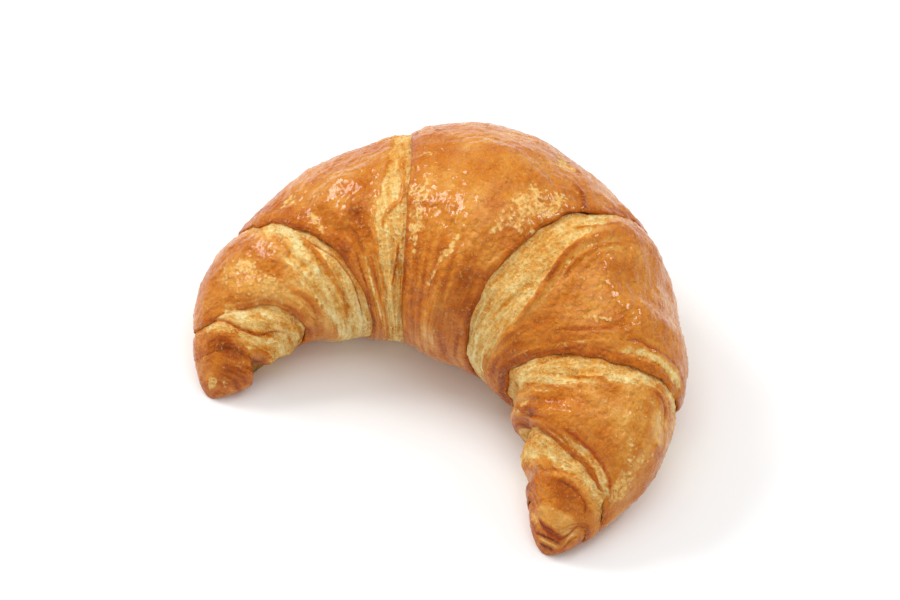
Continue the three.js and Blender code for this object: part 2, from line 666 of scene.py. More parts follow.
        # The relief: the rise to the lip, then what the dough does on its way there.
        lumps = relief.broad_lumps * LUMPS.rough(spot, 26.0, octaves=1)
        lumps = lumps + relief.lumps * LUMPS.rough(spot + 9, 9.0, octaves=3, gain=0.5)
        crumb = RAGGED.rough(spot + 5, 3.2, octaves=3, gain=0.6) * relief.crumb
        blisters = np.abs(RAGGED.rough(spot + 21, 2.8, octaves=3, gain=0.6)) * relief.blisters
        folds = relief.creases * (crease - 0.3) + relief.wrinkles * (wrinkle - 0.3)
        open_gap = self.gap(angle, self.start)
        proud = blend(-kind.root_depth * open_gap, kind.lip_height, rise) + kind.bulge * hump
        proud = proud - kind.band_sink * (1 - skin.glaze)
        proud = proud - relief.lip_slump * np.clip(1 - to_lip / 1.4, 0, 1) ** 2 - kind.sheet_drop * ended
        proud = proud + kind.folds * folds * (relief.outer_folds + relief.inner_folds * inner)
        proud = proud + relief.threads * thread + lumps
        proud = proud + (crumb + relief.ropes * rope) * (1 - skin.glaze) + blisters * skin.glaze
        proud = proud - relief.root_layers * near_root * groove - relief.flaked * skin.flake
        marks = skin.proud * smooth_step(-1.0, -0.75, y)
        skin.proud = (proud * off_table + marks) * self.fullness(along)
        # Painted shade in the gap at the root, under the neighbour's lip, darker where the gap is open.
        skin.crevice = fading(past_root, 0.5) * off_table * open_gap
        return skin

    @staticmethod
    def gap(angle: Array, edge: Edge) -> Array:
        """How open the gap under a lip is at each angle, from baked shut (0.25) to open (1)."""
        noise = LUMPS.at(2.3 * np.cos(angle) + 3 * edge.seed, 2.3 * np.sin(angle), np.full_like(angle, 7.0))
        return 0.25 + 0.75 * smooth_step(-0.35, 0.35, noise)

    def rings(self) -> Skin:
        """The whole skin, from the hidden root to the tucked end of the lip."""
        angles = self.column_angles()[None, :]
        start = self.start.at(angles)
        end = self.end.at(angles)
        count = int(np.max(np.abs(end - start)) / self.ring_spacing)
        share = np.linspace(0, 1, count)[:, None]
        if self.is_tip:
            share = (1 - (1 - share) ** 2) * self.tip_reach
        along = blend(start, end, share)
        spread = np.broadcast_to(share, along.shape)
        skin = self.surface(along, np.broadcast_to(angles, along.shape), spread)
        if self.side is Side.MIDDLE:
            return join([self.nose(skin, 0, -1, flipped=True), skin, self.nose(skin, -1, 1, flipped=False)])
        blocks = [self.root(skin), skin]
        if not self.is_tip:
            blocks.append(self.nose(skin, -1, self.side.value, flipped=False))
        return join(blocks)

    def root(self, skin: Skin) -> Skin:
        """The rings of the stretch that lies hidden under the neighbour, before those of the visible skin."""
        deep = np.linspace(1, 0, self.hidden_rings, endpoint=False)[:, None]
        kept = {name: getattr(skin, name)[:1] + 0 * deep for name in ("angle", *BAKING_AND_SHADE)}
        return Skin(
            along=skin.along[:1] - self.side.value * self.hidden_reach * deep,
            proud=skin.proud[:1] - self.hidden_depth * deep**1.3 * self.fullness(skin.along[:1]),
            lifted=skin.lifted[:1] + self.hidden_lift * deep,
            **kept,
        )

    def nose(self, skin: Skin, ring: int, heading: int, flipped: bool) -> Skin:
        """The rounded nose of the lip, and the tuck under it.

        Args:
            skin: The visible skin.
            ring: The index of the ring that it starts from.
            heading: The direction along the spine in which the nose points.
            flipped: Whether its rings come before those of the skin.

        Returns:
            Its rings.
        """
        near = skin.along[ring][None, :]
        angle = skin.angle[ring][None, :]
        size = self.fullness(near)
        spot = on_circle(angle, self.character.seed)
        edge = self.start if flipped else self.end
        radius = 0.5 * (self.character.lip_height + 0.8 * self.gap(angle, edge)) * size
        radius = radius * (1 + 0.3 * RAGGED.rough(spot, 0.3, octaves=3))
        turn = np.linspace(0, math.pi, self.nose_rings + 1)[1:, None]
        tuck = np.linspace(0, 1, self.tuck_rings + 1)[1:, None]
        off_table = self.off_table(angle)
        past = np.concatenate([np.sin(turn) * radius * 0.6, -self.tuck_reach * tuck * size])
        round_nose = (1 - np.cos(turn)) * radius * off_table
        drop = np.concatenate([round_nose, 2 * radius * off_table + self.tuck_depth * tuck**1.2 * size])
        under = np.concatenate([smooth_step(2.0, math.pi, turn), 1 + 0 * tuck])
        sheet = 0.5 - 0.5 * np.cos(turn * 5 + 3 * FOLDS.at(2 * spot[..., 0], 2 * spot[..., 1], spot[..., 2]))
        sheet = np.concatenate([sheet * np.sin(turn), 0 * tuck + 0 * near])
        raised = np.concatenate([0 * turn, tuck * self.hidden_lift])
        cut_edge = np.concatenate([np.sin(turn), 0 * tuck])
        grow = np.ones_like(past)
        block = Skin(
            along=near + heading * past,
            angle=angle * grow,
            proud=skin.proud[ring][None, :] - drop,
            lifted=raised * grow,
            glaze=skin.glaze[ring][None, :] * (1 - 0.6 * cut_edge),
            tone=skin.tone[ring][None, :] * grow,
            # Painted shade under the tucked nose and in the lines between its sheets.
            crevice=under * off_table,
            layers=skin.layers[ring][None, :] * (1 - cut_edge) + 0.7 * sheet,
            flake=skin.flake[ring][None, :] * grow,
        )
        return reverse(block) if flipped else block

    def build(self) -> bpy.types.Object:
        """Makes the wrap's mesh.

        Returns:
            The object, closed and smooth, with its baking and its painted shade as attributes.
        """
        skin = self.rings()
        rings, columns = skin.along.shape
        piece = self.cage(rings, columns)
        mesh = piece.data
        flat = np.empty(len(mesh.vertices) * 3)
        mesh.vertices.foreach_get("co", flat)
        at = flat.reshape(-1, 3)
        row = np.rint((at[:, 2] + 0.5) * (rings - 1)).astype(int)
        column = np.rint(np.arctan2(at[:, 1], at[:, 0]) / (2 * math.pi / columns)).astype(int) % columns
        is_cap = np.hypot(at[:, 0], at[:, 1]) < 0.5
        points = BODY_SHAPE.place(skin.along, skin.angle, skin.proud, skin.lifted)
        sculpted = points[row, column] * MM
        for end in (0, rings - 1):
            sculpted[is_cap & (row == end)] = points[end].mean(axis=0) * MM
        mesh.vertices.foreach_set("co", sculpted.ravel())
        attributes = {name: getattr(skin, name) for name in (*BAKING_AND_SHADE, "along")}
        attributes["around"] = skin.angle * float(BODY_SHAPE.half_width(skin.along.mean()))
        for name, values in attributes.items():
            layer = mesh.attributes.new(name, "FLOAT", "POINT")
            layer.data.foreach_set("value", values[row, column].astype(np.float32))
        mesh.update()
        bpy.ops.object.mode_set(mode="EDIT")
        bpy.ops.mesh.select_all(action="SELECT")
        bpy.ops.mesh.normals_make_consistent(inside=False)
        bpy.ops.object.mode_set(mode="OBJECT")
        bpy.ops.object.shade_smooth()
        return piece

    def cage(self, rings: int, columns: int) -> bpy.types.Object:
        """A closed tube of so many rings and columns, one metre long and two across, ready to sculpt."""
        bpy.ops.object.select_all(action="DESELECT")
        bpy.ops.mesh.primitive_cylinder_add(vertices=columns, radius=1, depth=1, end_fill_type="TRIFAN")
        piece = bpy.context.object
        piece.name = self.name
        piece.data.name = self.name
        bpy.ops.object.mode_set(mode="EDIT")
        bpy.ops.mesh.select_mode(type="EDGE")
        bpy.ops.mesh.select_all(action="DESELECT")
        shape = bmesh.from_edit_mesh(piece.data)
        for edge in shape.edges:
            low, high = edge.verts
            edge.select_set(abs(low.co.z - high.co.z) > 0.5)
        bmesh.update_edit_mesh(piece.data)
        bpy.ops.mesh.subdivide(number_cuts=rings - 2)
        bpy.ops.object.mode_set(mode="OBJECT")
        return piece


def join(blocks: list[Skin]) -> Skin:
    """Several stretches of skin as one, in their order."""
    names = Skin.__dataclass_fields__
    return Skin(**{name: np.concatenate([getattr(block, name) for block in blocks]) for name in names})


def reverse(block: Skin) -> Skin:
    """A stretch of skin with its rings the other way round."""
    names = Skin.__dataclass_fields__
    return Skin(**{name: getattr(block, name)[::-1] for name in names})


# ----------------------------------------------------------------------------------------
# Finishes
# ----------------------------------------------------------------------------------------


Colour = tuple[float, float, float, float]
Stops = tuple[tuple[float, Colour], ...]


def colour(red: int, green: int, blue: int) -> Colour:
    """A colour given as it looks on a screen, in the linear form that shaders use."""
    parts = [part / 255 for part in (red, green, blue)]
    linear = [part / 12.92 if part <= 0.04045 else ((part + 0.055) / 1.055) ** 2.4 for part in parts]
    return (*linear, 1.0)


class Tree:
    """A material's nodes."""

    def __init__(self, material: bpy.types.Material) -> None:
        """Starts from an empty tree.

        Args:
            material: What the nodes belong to.
        """
        self.tree = material.node_tree
        self.tree.nodes.clear()

    def node(
        self,
        kind: str,
        settings: dict[str, Any] | None = None,
        sockets: dict[str | int, Value] | None = None,
    ) -> bpy.types.Node:
        """Adds a node.

        Args:
            kind: Its type.
            settings: Its settings, set before its sockets. A ramp's stops are pairs of place and colour.
            sockets: Values or links for its sockets, by name or number.

        Returns:
            The node.
        """
        made = self.tree.nodes.new(kind)
        for name, value in (settings or {}).items():
            if name == "stops":
                self.set_stops(made.color_ramp, value)
            else:
                setattr(made, name, value)
        for name, value in (sockets or {}).items():
            socket = made.inputs[name]
            if isinstance(value, Number):
                value = value.socket
            if isinstance(value, bpy.types.NodeSocket):
                self.tree.links.new(value, socket)
            else:
                socket.default_value = value
        return made

    @staticmethod
    def set_stops(ramp: bpy.types.ColorRamp, stops: Stops) -> None:
        """Gives a ramp its stops, as pairs of place and colour."""
        while len(ramp.elements) < len(stops):
            ramp.elements.new(1.0)
        for element, (place, shade) in zip(ramp.elements, stops):
            element.position = place
            element.color = shade

    def number(self, node: bpy.types.Node, output: str | int = 0) -> "Number":
        """One of a node's outputs, ready for sums."""
        return Number(self, node.outputs[output])

    def attribute(self, name: str) -> "Number":
        """An attribute of the mesh."""
        node = self.node("ShaderNodeAttribute", {"attribute_type": "GEOMETRY", "attribute_name": name})
        return self.number(node, "Fac")

    def noise(self, place: Value, scale: float, detail: float, **more: float) -> "Number":
        """Noise of about 0 to 1.

        Args:
            place: Where it is read.
            scale: How fine its coarsest level is.
            detail: How many finer levels it has.
            more: Its other sockets, by name.

        Returns:
            The noise.
        """
        sockets = {"Vector": place, "Scale": scale, "Detail": detail, **more}
        return self.number(self.node("ShaderNodeTexNoise", None, sockets))

    def cells(self, place: Value, scale: float, feature: str = "F1", **more: float) -> "Number":
        """The distance from the middle of the nearest cell.

        Args:
            place: Where it is read.
            scale: How fine the cells are.
            feature: Which distance it is.
            more: Its other sockets, by name.

        Returns:
            The distance, in cells.
        """
        sockets = {"Vector": place, "Scale": scale, **more}
        return self.number(self.node("ShaderNodeTexVoronoi", {"feature": feature}, sockets), "Distance")

    def ramp(self, stops: Stops, place: Value) -> bpy.types.NodeSocket:
        """The colour at a place on a ramp."""
        return self.node("ShaderNodeValToRGB", {"stops": stops}, {0: place}).outputs[0]

    def mix(self, factor: Value, first: Value, second: Value, how: str = "MIX") -> bpy.types.NodeSocket:
        """Mixes two colours.

        Args:
            factor: How much of the second there is.
            first: A colour or a link.
            second: Another.
            how: The way in which they mix.

        Returns:
            The mixed colour's socket.
        """
        settings = {"data_type": "RGBA", "blend_type": how, "clamp_factor": True}
        return self.node("ShaderNodeMix", settings, {0: factor, 6: first, 7: second}).outputs[2]


class Number:
    """A number in a shader. Sums on it add Math nodes."""

    def __init__(self, tree: Tree, socket: bpy.types.NodeSocket) -> None:
        """Wraps a socket.

        Args:
            tree: Where new nodes go.
            socket: The socket that gives the number.
        """
        self.tree = tree
        self.socket = socket

    def sum(self, operation: str, first: Value, second: Value) -> "Number":
        """A Math node on two values."""
        node = self.tree.node("ShaderNodeMath", {"operation": operation}, {0: first, 1: second})
        return Number(self.tree, node.outputs[0])

    def __add__(self, other: Value) -> "Number":
        """This plus the other."""
        return self.sum("ADD", self, other)

    __radd__ = __add__

    def __sub__(self, other: Value) -> "Number":
        """This less the other."""
        return self.sum("SUBTRACT", self, other)

    def __rsub__(self, other: Value) -> "Number":
        """The other less this."""
        return self.sum("SUBTRACT", other, self)

    def __mul__(self, other: Value) -> "Number":
        """This times the other."""
        return self.sum("MULTIPLY", self, other)

    __rmul__ = __mul__

    def __abs__(self) -> "Number":
        """This without its sign."""
        return self.sum("ABSOLUTE", self, 0.0)

    def step(self, low: float, high: float) -> "Number":
        """A soft step from 0 at low to 1 at high."""
        node = self.tree.node(
            "ShaderNodeMapRange",
            {"interpolation_type": "SMOOTHSTEP"},
            {"Value": self, "From Min": low, "From Max": high},
        )
        return Number(self.tree, node.outputs[0])


@dataclass(frozen=True)
class CrustFinish:
    """Baked dough: glossy brown where it was glazed, and pale, dry and fibrous where a lap had covered it."""

    name: str = "baked_crust"
    glazed: Stops = (
        (0.00, colour(238, 194, 112)),
        (0.22, colour(228, 165, 76)),
        (0.42, colour(212, 134, 42)),
        (0.60, colour(195, 106, 16)),
        (0.78, colour(166, 77, 8)),
        (1.00, colour(118, 44, 6)),
    )
    pale: Stops = (
        (0.02, colour(202, 114, 26)),
        (0.22, colour(216, 142, 52)),
        (0.46, colour(227, 172, 90)),
        (0.70, colour(241, 203, 128)),
        (0.95, colour(252, 230, 168)),
    )
    thin_colour: Colour = colour(238, 180, 92)
    thread_colour: Colour = colour(252, 232, 166)
    # The brown that darkens the grooves between sheets and the crevices under the lips: painted shade.
    painted_shade_colour: Colour = colour(206, 118, 46)
    gloss_colour: Colour = colour(250, 190, 120)
    grain_scale: float = 2300
    fine_scale: float = 1000
    crumb_scale: float = 640
    blister_scale: float = 520
    medium_scale: float = 330
    curl_scale: float = 260
    broad_scale: float = 85
    fibre_along: float = 0.75
    fibre_around: float = 0.13
    thin_cover: float = 0.42
    thread_cover: float = 0.65
    flake_cover: float = 0.74
    sheet_shade_cover: float = 0.85
    crevice_shade_cover: float = 0.5

    def material(self) -> bpy.types.Material:
        """Makes the material.

        Returns:
            The material, which reads a wrap's attributes and its Object coordinates.
        """
        made = bpy.data.materials.new(self.name)
        made.use_nodes = True
        tree = Tree(made)
        place = tree.node("ShaderNodeTexCoord").outputs["Object"]
        glaze, tone, crevice, layers, flake = (tree.attribute(name) for name in BAKING_AND_SHADE)
        lay = {0: tree.attribute("along") * self.fibre_along, 1: tree.attribute("around") * self.fibre_around}
        fibre_place = tree.node("ShaderNodeCombineXYZ", None, lay).outputs[0]

        # Four sizes of mottling, the dry dough's fibres and threads, the crumbs, and the glaze's blisters.
        grain = tree.noise(place, self.grain_scale, 2.0, Roughness=0.55)
        fine = tree.noise(place, self.fine_scale, 3.0, Roughness=0.55)
        medium = tree.noise(place, self.medium_scale, 3.0, Roughness=0.55)
        broad = tree.noise(place, self.broad_scale, 2.0, Roughness=0.55)
        fibre = tree.noise(fibre_place, 1.0, 4.0, Roughness=0.6)
        curl = tree.noise(place, self.curl_scale, 1.0, Roughness=0.55, Distortion=1.2)
        crumbs = tree.cells(place, self.crumb_scale)
        blister = tree.cells(place, self.blister_scale, "SMOOTH_F1", Smoothness=0.5)
        grain, fine, medium, fibre = (size - 0.5 for size in (grain, fine, medium, fibre))

        # Where the flakes and the glaze lie.
        dots = (flake * 0.8 - crumbs * 0.8 + fine * 1.3 + medium * 0.8 - 0.05).step(-0.10, 0.46)
        mask = (glaze + medium * 0.45 + fine * 0.55 + grain * 0.3).step(0.14, 0.86)

        # The glazed crust, and thin paler spots in it.
        shade = tone + medium * 0.36 + (broad - 0.5) * 0.30 + fine * 0.30 + grain * 0.20
        crust = tree.ramp(self.glazed, shade)
        thin = (medium * 1.2 + fine * 1.6 + grain * 0.6).step(0.16, 0.44)
        crust = tree.mix(thin * self.thin_cover, crust, self.thin_colour)

        # The dry dough, browner where it is baked more, with thin curled threads.
        baked = glaze.step(0.0, 0.5) * 0.38 + (tone - 0.5) * 0.9
        dryness = 0.50 + fibre * 0.9 + fine * 0.9 + medium * 0.7 + grain * 0.5 - baked
        crumb = tree.ramp(self.pale, dryness)
        thread = (0.030 - abs(curl - 0.5)).step(0.0, 0.026) * (broad - 0.1).step(0.2, 0.5) * (1 - mask)
        crumb = tree.mix(thread * self.thread_cover, crumb, self.thread_colour)

        skin = tree.mix(mask, crumb, crust)
        skin = tree.mix(dots * self.flake_cover, skin, tree.ramp(self.pale, 0.62 + fine * 1.1))
        # Painted shade: the grooves between sheets and the crevices under the lips are darkened.
        skin = tree.mix(layers * self.sheet_shade_cover, skin, self.painted_shade_colour, "MULTIPLY")
        skin = tree.mix(crevice * self.crevice_shade_cover, skin, self.painted_shade_colour, "MULTIPLY")
        shine = mask * (1 - dots)

        height = fine * 0.48 + medium * 0.90 + grain * 0.20
        height = height + shine * ((0.5 - blister) * 0.80 + fine * 0.30)
        height = height + (1 - mask) * (fibre * 0.7 + fine * 0.6) + dots * 0.14 + thread * 0.22
        bump = tree.node("ShaderNodeBump", None, {"Strength": 1.0, "Distance": MM, "Height": height})
        shader = tree.node(
            "ShaderNodeBsdfPrincipled",
            None,
            {
                "Base Color": skin,
                "Roughness": 0.68 - shine * 0.30 + fine * 0.2,
                "Specular IOR Level": 0.2,
                "Specular Tint": self.gloss_colour,
                "Coat Weight": shine * (1.0 - broad * 0.4 - (tone - 0.4) * 0.9),
                "Coat Roughness": 0.13,
                "Coat IOR": 1.38,
                "Subsurface Weight": 0.12,
                "Subsurface Radius": (1.0, 0.45, 0.2),
                "Subsurface Scale": 0.002,
                "Normal": bump.outputs[0],
            },
        )
        tree.node("ShaderNodeOutputMaterial", None, {"Surface": shader.outputs[0]})
        return made


@dataclass(frozen=True)
class FloorFinish:
    """Plain pale matte card."""

    name: str = "pale_floor"
    shade: Colour = (0.92, 0.92, 0.92, 1.0)
    speck_shade: Colour = (0.80, 0.80, 0.80, 1.0)
    speck_scale: float = 40.0
    speck_cover: float = 0.04

    def material(self) -> bpy.types.Material:
        """Makes the material."""
        made = bpy.data.materials.new(self.name)
        made.use_nodes = True
        tree = Tree(made)
        place = tree.node("ShaderNodeTexCoord").outputs["Object"]
        specks = tree.noise(place, self.speck_scale, 2.0)
        shade = tree.mix(specks * self.speck_cover, self.shade, self.speck_shade)
        shader = tree.node("ShaderNodeBsdfPrincipled", None, {"Base Color": shade, "Roughness": 0.8})
        tree.node("ShaderNodeOutputMaterial", None, {"Surface": shader.outputs[0]})
        return made


# ----------------------------------------------------------------------------------------
# The croissant
# ----------------------------------------------------------------------------------------


@dataclass
class Croissant:
    """All the wraps of the rolled sheet, from the left tip to the right one."""

    left_tip: Edge = Edge(-105, -105, -105, -105, ragged=0.0)
    left_curl: Edge = Edge(-92, -97.5, -99, -90.5, ragged=0.4, seed=1)
    left_third: Edge = Edge(-75, -87.5, -92, -84, skew=1.0, seed=2)
    left_second: Edge = Edge(-45, -60.5, -68, -55, seed=3)
    left_first: Edge = Edge(-25.6, -25.8, -27, -25, ragged=0.4, seed=4)
    right_first: Edge = Edge(25.6, 19.6, 26.1, 25.6, skew=-1.0, seed=5)
    right_second: Edge = Edge(51.3, 59.6, 60.9, 55.5, seed=6)
    right_third: Edge = Edge(72, 86.3, 92, 82, skew=3.0, seed=7)
    right_curl: Edge = Edge(96.5, 96.5, 97.5, 97, ragged=0.3, seed=8, tongue=(86, 5.8, 50))
    right_tip: Edge = Edge(105, 105, 105, 105, ragged=0.0)
    crust: CrustFinish = field(default_factory=CrustFinish)

    patches: tuple[Patch, ...] = (
        # The body isn't an even tube: it is flatter behind the bend, and the arms are pinched in places.
        Patch(-50, 150, 22, 40, raised=-1.5, ragged=0.0),
        Patch(14, 148, 13, 32, raised=-2.0, ragged=0.0),
        Patch(2, 136, 11, 20, raised=-1.0, ragged=0.0),
        Patch(27, 145, 7, 18, raised=1.0, ragged=0.0),
        Patch(42.5, 146, 6, 20, raised=-2.4, ragged=0.0),
        Patch(-73, -22, 9, 14, raised=-2.2, ragged=0.0),
        Patch(58, -12, 6, 16, raised=-3.8, ragged=0.0),
        Patch(69, -12, 3.4, 14, raised=1.4, ragged=0.0),
        Patch(74.4, -14, 2.2, 14, raised=-4.6, ragged=0.0),
        Patch(84.0, -12, 4, 14, raised=2.2, ragged=0.0),
        Patch(91, -12, 1.8, 12, raised=-2.4, ragged=0.0),
        Patch(88, 150, 8, 14, raised=-1.6, ragged=0.0),
        Patch(-94.0, -28, 2.4, 11, raised=-8.0, glaze=0.8, tone=0.05, ragged=0.0),
        Patch(-89, -42, 6, 8, raised=-5.0, ragged=0.0),
        Patch(-99, -10, 2.8, 9, raised=1.6, ragged=0.0),
        Patch(-102, 150, 1.6, 5, raised=-0.9, ragged=0.0),
        Patch(0, 95, 30, 40, raised=-0.8, ragged=0.0),
        # The middle wrap: flaked places, and the browner stretches towards the inner side.
        Patch(14.5, 88, 4.6, 11, flake=0.95, ragged=0.9),
        Patch(11.5, 70, 2.2, 4.5, flake=0.8, ragged=0.9),
        Patch(6.8, 133, 2.2, 5, flake=0.95, ragged=0.9),
        Patch(-22, 73, 3.4, 12, flake=0.85, tone=-0.1, ragged=0.9),
        Patch(-21, 45, 1.2, 6, flake=0.7, ragged=0.9),
        Patch(13, 24, 7.5, 20, tone=0.17, ragged=0.4),
        Patch(-17, 18, 7, 18, tone=0.11, ragged=0.4),
        Patch(1, 2, 7, 7, tone=-0.14, ragged=0.6),
        # The first wrap of the left arm.
        Patch(-46.3, 90, 7, 9, raised=1.7, ragged=0.2),
        # A dent below the bump, darkened with painted shade.
        Patch(-44.3, 66, 3.5, 8, tone=0.2, raised=-0.4, ragged=0.4),
        Patch(-57.8, 117, 1.8, 3.5, flake=0.95, ragged=0.9),
        Patch(-50, 104, 6, 6, tone=-0.08, flake=0.2),
        Patch(-52, 40, 2.6, 14, tone=0.12, ragged=0.3),
        # The pale band of the left arm: creamy dough, made paler at the top as a painted highlight, with
        # bubbles lower down and two small holes darkened with painted shade.
        Patch(-64.3, 84, 2.0, 7, tone=-0.35, raised=0.4),
        Patch(-67.6, 86, 2.4, 5, glaze=0.6, tone=-0.1),
        Patch(-64.5, 66, 1.4, 1.7, tone=-0.1, raised=0.55, ragged=0.3),
        Patch(-66.6, 59, 1.4, 1.6, tone=-0.2, raised=0.5, ragged=0.3),
        Patch(-63.0, 55, 1.1, 1.5, tone=-0.2, raised=0.4, ragged=0.3),
        Patch(-68.3, 35, 0.6, 0.9, tone=0.45, raised=-0.6, ragged=0.3),
        Patch(-67.3, 28, 0.6, 0.9, tone=0.45, raised=-0.6, ragged=0.3),
        # The second wrap of the left arm.
        Patch(-82.5, 84, 5.5, 10, tone=-0.10, flake=0.30, ragged=0.9),
        Patch(-77.5, 93, 2.6, 4, flake=0.75, ragged=0.9),
        Patch(-81, 118, 4, 4, flake=0.35, ragged=0.9),
        Patch(-77, 60, 4, 8, tone=-0.16, flake=0.4, ragged=0.9),
        Patch(-79.5, 74, 3.0, 3.6, raised=0.8, ragged=0.5),
        Patch(-84.0, 92, 3.0, 3.0, raised=0.7, ragged=0.5),
        Patch(-79, 22, 3, 8, tone=0.10),
        Patch(-90.5, 28, 2.4, 6, tone=0.10),
        # The first wrap of the right arm.
        Patch(50, 113, 7, 8, raised=0.8, ragged=0.2),
        Patch(44, 100, 5, 9, tone=-0.06, flake=0.15),
        # The second wrap of the right arm.
        Patch(69, 24, 1.6, 6, flake=0.9, tone=-0.1, turn=10, ragged=0.7),
        Patch(71, 150, 3, 5, tone=-0.18, ragged=0.5),
        Patch(76, 146, 7, 3.5, tone=-0.20, glaze=-0.2, ragged=0.7),
        Patch(80, 96, 6, 12, tone=0.06),
        Patch(80, 60, 6, 10, raised=2.6, ragged=0.0),
        Patch(73.6, 74, 1.8, 2.4, raised=0.6, ragged=0.5),
        Patch(76.5, 84, 1.8, 2.4, raised=0.5, ragged=0.5),
        Patch(70, 8, 5, 9, tone=-0.16, ragged=0.4),
        Patch(83, 150, 5, 4, flake=0.7, ragged=0.9),
        Patch(88, 156, 3, 3, flake=0.8, glaze=-0.4, ragged=0.9),
        Patch(72.5, 118, 6, 6, tone=-0.10, flake=0.25),
        Patch(78, 130, 1.0, 2.4, flake=0.9),
        # The tips.
        Patch(100.2, 92, 2.0, 9, tone=-0.34, ragged=0.3),
        Patch(94.4, 92, 1.4, 7, tone=0.08, raised=0.5),
        Patch(-96, 95, 1.6, 12, tone=0.14, ragged=0.4),
        Patch(-103.6, 84, 0.8, 1.3, flake=1.0, glaze=-0.6, ragged=0.5),
        Patch(-102.4, 40, 0.7, 2.0, flake=0.9, ragged=0.5),
        Patch(-101, 60, 2.4, 2.5, flake=0.3),
    )

